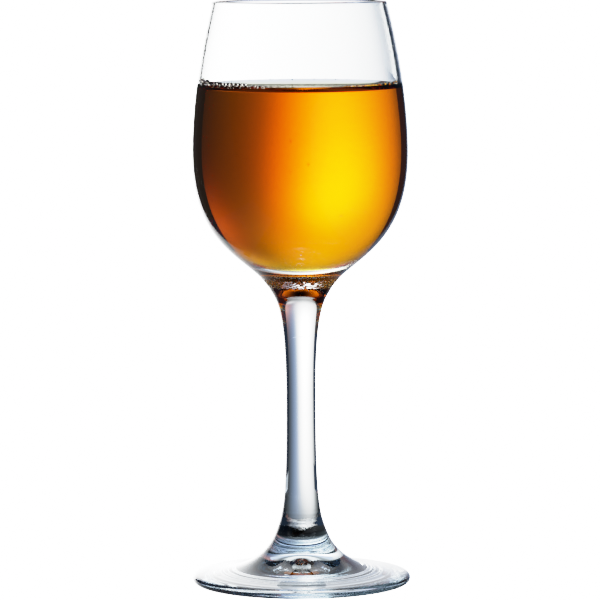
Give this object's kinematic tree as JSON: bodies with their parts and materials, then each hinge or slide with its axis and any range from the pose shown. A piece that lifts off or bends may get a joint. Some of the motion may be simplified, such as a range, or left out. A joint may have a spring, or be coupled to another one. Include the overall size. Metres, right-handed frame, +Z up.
{
  "type": "liqueur glass",
  "caption": "Stemmed tulip-shaped liqueur glass of clear glass, part filled with amber liqueur, on a slim flared stem and a round foot, for serving a small drink.",
  "frame": {"origin": "on the glass's axis, on the table under the foot", "axes": "+Z up along the axis that the glass is turned about; X and Y are any two level directions, because the glass is round"},
  "size_m": [0.0486, 0.0486, 0.13],
  "materials": {
    "bowl_glass": "clear, blown and fire-polished",
    "stem_glass": "clear, drawn",
    "foot_glass": "clear, pressed and fire-polished",
    "liqueur": "clear amber liquid, still"
  },
  "bodies": {
    "root": {"bowl": "bowl_glass", "stem": "stem_glass", "foot": "foot_glass", "liqueur": "liqueur"}
  },
  "joints": []
}
